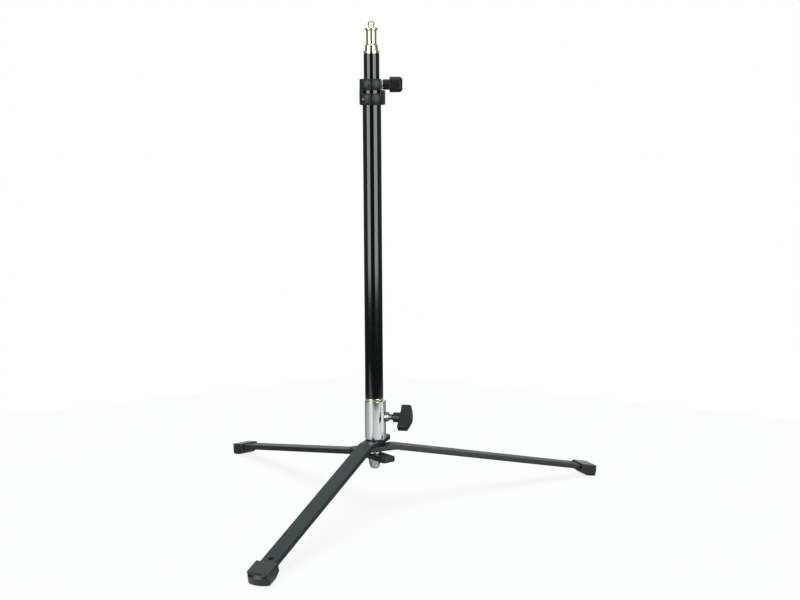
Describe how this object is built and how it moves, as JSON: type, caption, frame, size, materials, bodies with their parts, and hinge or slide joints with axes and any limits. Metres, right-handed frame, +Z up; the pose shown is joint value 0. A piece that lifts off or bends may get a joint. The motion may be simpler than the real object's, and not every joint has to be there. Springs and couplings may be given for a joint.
{
  "type": "light stand",
  "caption": "Low folding light stand with stacked flat legs on one pivot, a chromed socket with clamp knob, a sliding column with collar knob, and a 16 mm stud on top.",
  "frame": {"origin": "middle of the footprint's bounding box, on the floor", "axes": "+Z up along the column, -Y along the front leg, +X to the right seen from the front leg"},
  "size_m": [0.5218, 0.5696, 0.6082],
  "materials": {
    "chrome": "polished plating",
    "zinc": "bright zinc plating",
    "brass": "turned and polished",
    "powder_coat": "satin dark grey powder coat",
    "gloss_black": "gloss black",
    "collar_black": "satin black die casting",
    "black_plastic": "moulded, fine grain",
    "foot_rubber": "moulded, satin",
    "nylon": "natural"
  },
  "bodies": {
    "base": {"receiver": "chrome", "receiver_boss": "chrome", "pivot_bolt": "zinc", "pivot_nut": "zinc", "nut_washer": "zinc", "upper_leg_washer": "zinc", "lower_leg_washer": "zinc", "front_leg": "powder_coat", "front_foot": "foot_rubber"},
    "right_leg": {"right_leg": "powder_coat", "right_foot": "foot_rubber"},
    "left_leg": {"left_leg": "powder_coat", "left_foot": "foot_rubber"},
    "receiver_pad": {"receiver_pad": "nylon"},
    "receiver_knob": {"receiver_knob": "black_plastic", "receiver_screw": "chrome"},
    "column_spigot": {"spigot": "brass"},
    "column": {"outer_tube": "gloss_black", "collar": "collar_black", "guide_ring": "nylon", "collar_screw": "zinc"},
    "collar_shoe": {"collar_shoe": "brass"},
    "collar_knob": {"collar_knob": "black_plastic", "collar_spindle": "zinc", "collar_knob_washer": "chrome"},
    "inner_guide": {"inner_guide": "black_plastic"},
    "inner_tube": {"inner_tube": "gloss_black", "stud": "brass"}
  },
  "joints": [
    {"name": "right_leg_fold", "type": "hinge", "parent": "base", "child": "right_leg", "pos_m": [0.02662, 0.04287, 0.07215], "axis": [0, 0, 1], "range_deg": [-121, 36]},
    {"name": "left_leg_fold", "type": "hinge", "parent": "base", "child": "left_leg", "pos_m": [0.02662, 0.04287, 0.06265], "axis": [0, 0, 1], "range_deg": [-48, 109]},
    {"name": "receiver_screw_feed", "type": "slide", "parent": "base", "child": "receiver_pad", "axis": [0.9903, 0.1392, 0], "range_m": [0, 0.00187]},
    {"name": "receiver_knob_turn", "type": "hinge", "parent": "receiver_pad", "child": "receiver_knob", "pos_m": [0.02662, 0.04287, 0.1138], "axis": [0.9903, 0.1392, 0], "range_deg": [0, 540]},
    {"name": "column_lift", "type": "slide", "parent": "base", "child": "column_spigot", "axis": [0, 0, 1], "range_m": [0, 0.06]},
    {"name": "column_swivel", "type": "hinge", "parent": "column_spigot", "child": "column", "pos_m": [0.02662, 0.04287, 0.1386], "axis": [0, 0, 1], "continuous": true},
    {"name": "collar_screw_feed", "type": "slide", "parent": "column", "child": "collar_shoe", "axis": [0.9272, 0.3746, 0], "range_m": [0, 0.0015]},
    {"name": "collar_knob_turn", "type": "hinge", "parent": "collar_shoe", "child": "collar_knob", "pos_m": [0.02662, 0.04287, 0.53135], "axis": [0.9272, 0.3746, 0], "range_deg": [0, 540]},
    {"name": "column_height", "type": "slide", "parent": "column", "child": "inner_guide", "axis": [0, 0, 1], "range_m": [-0.025, 0.25]},
    {"name": "stud_swivel", "type": "hinge", "parent": "inner_guide", "child": "inner_tube", "pos_m": [0.02662, 0.04287, 0.2041], "axis": [0, 0, 1], "continuous": true}
  ],
  "couplings": [
    {"joint": "receiver_knob_turn", "follows": "receiver_screw_feed", "rad_per_m": 5026.5},
    {"joint": "collar_knob_turn", "follows": "collar_screw_feed", "rad_per_m": 6283.2}
  ]
}
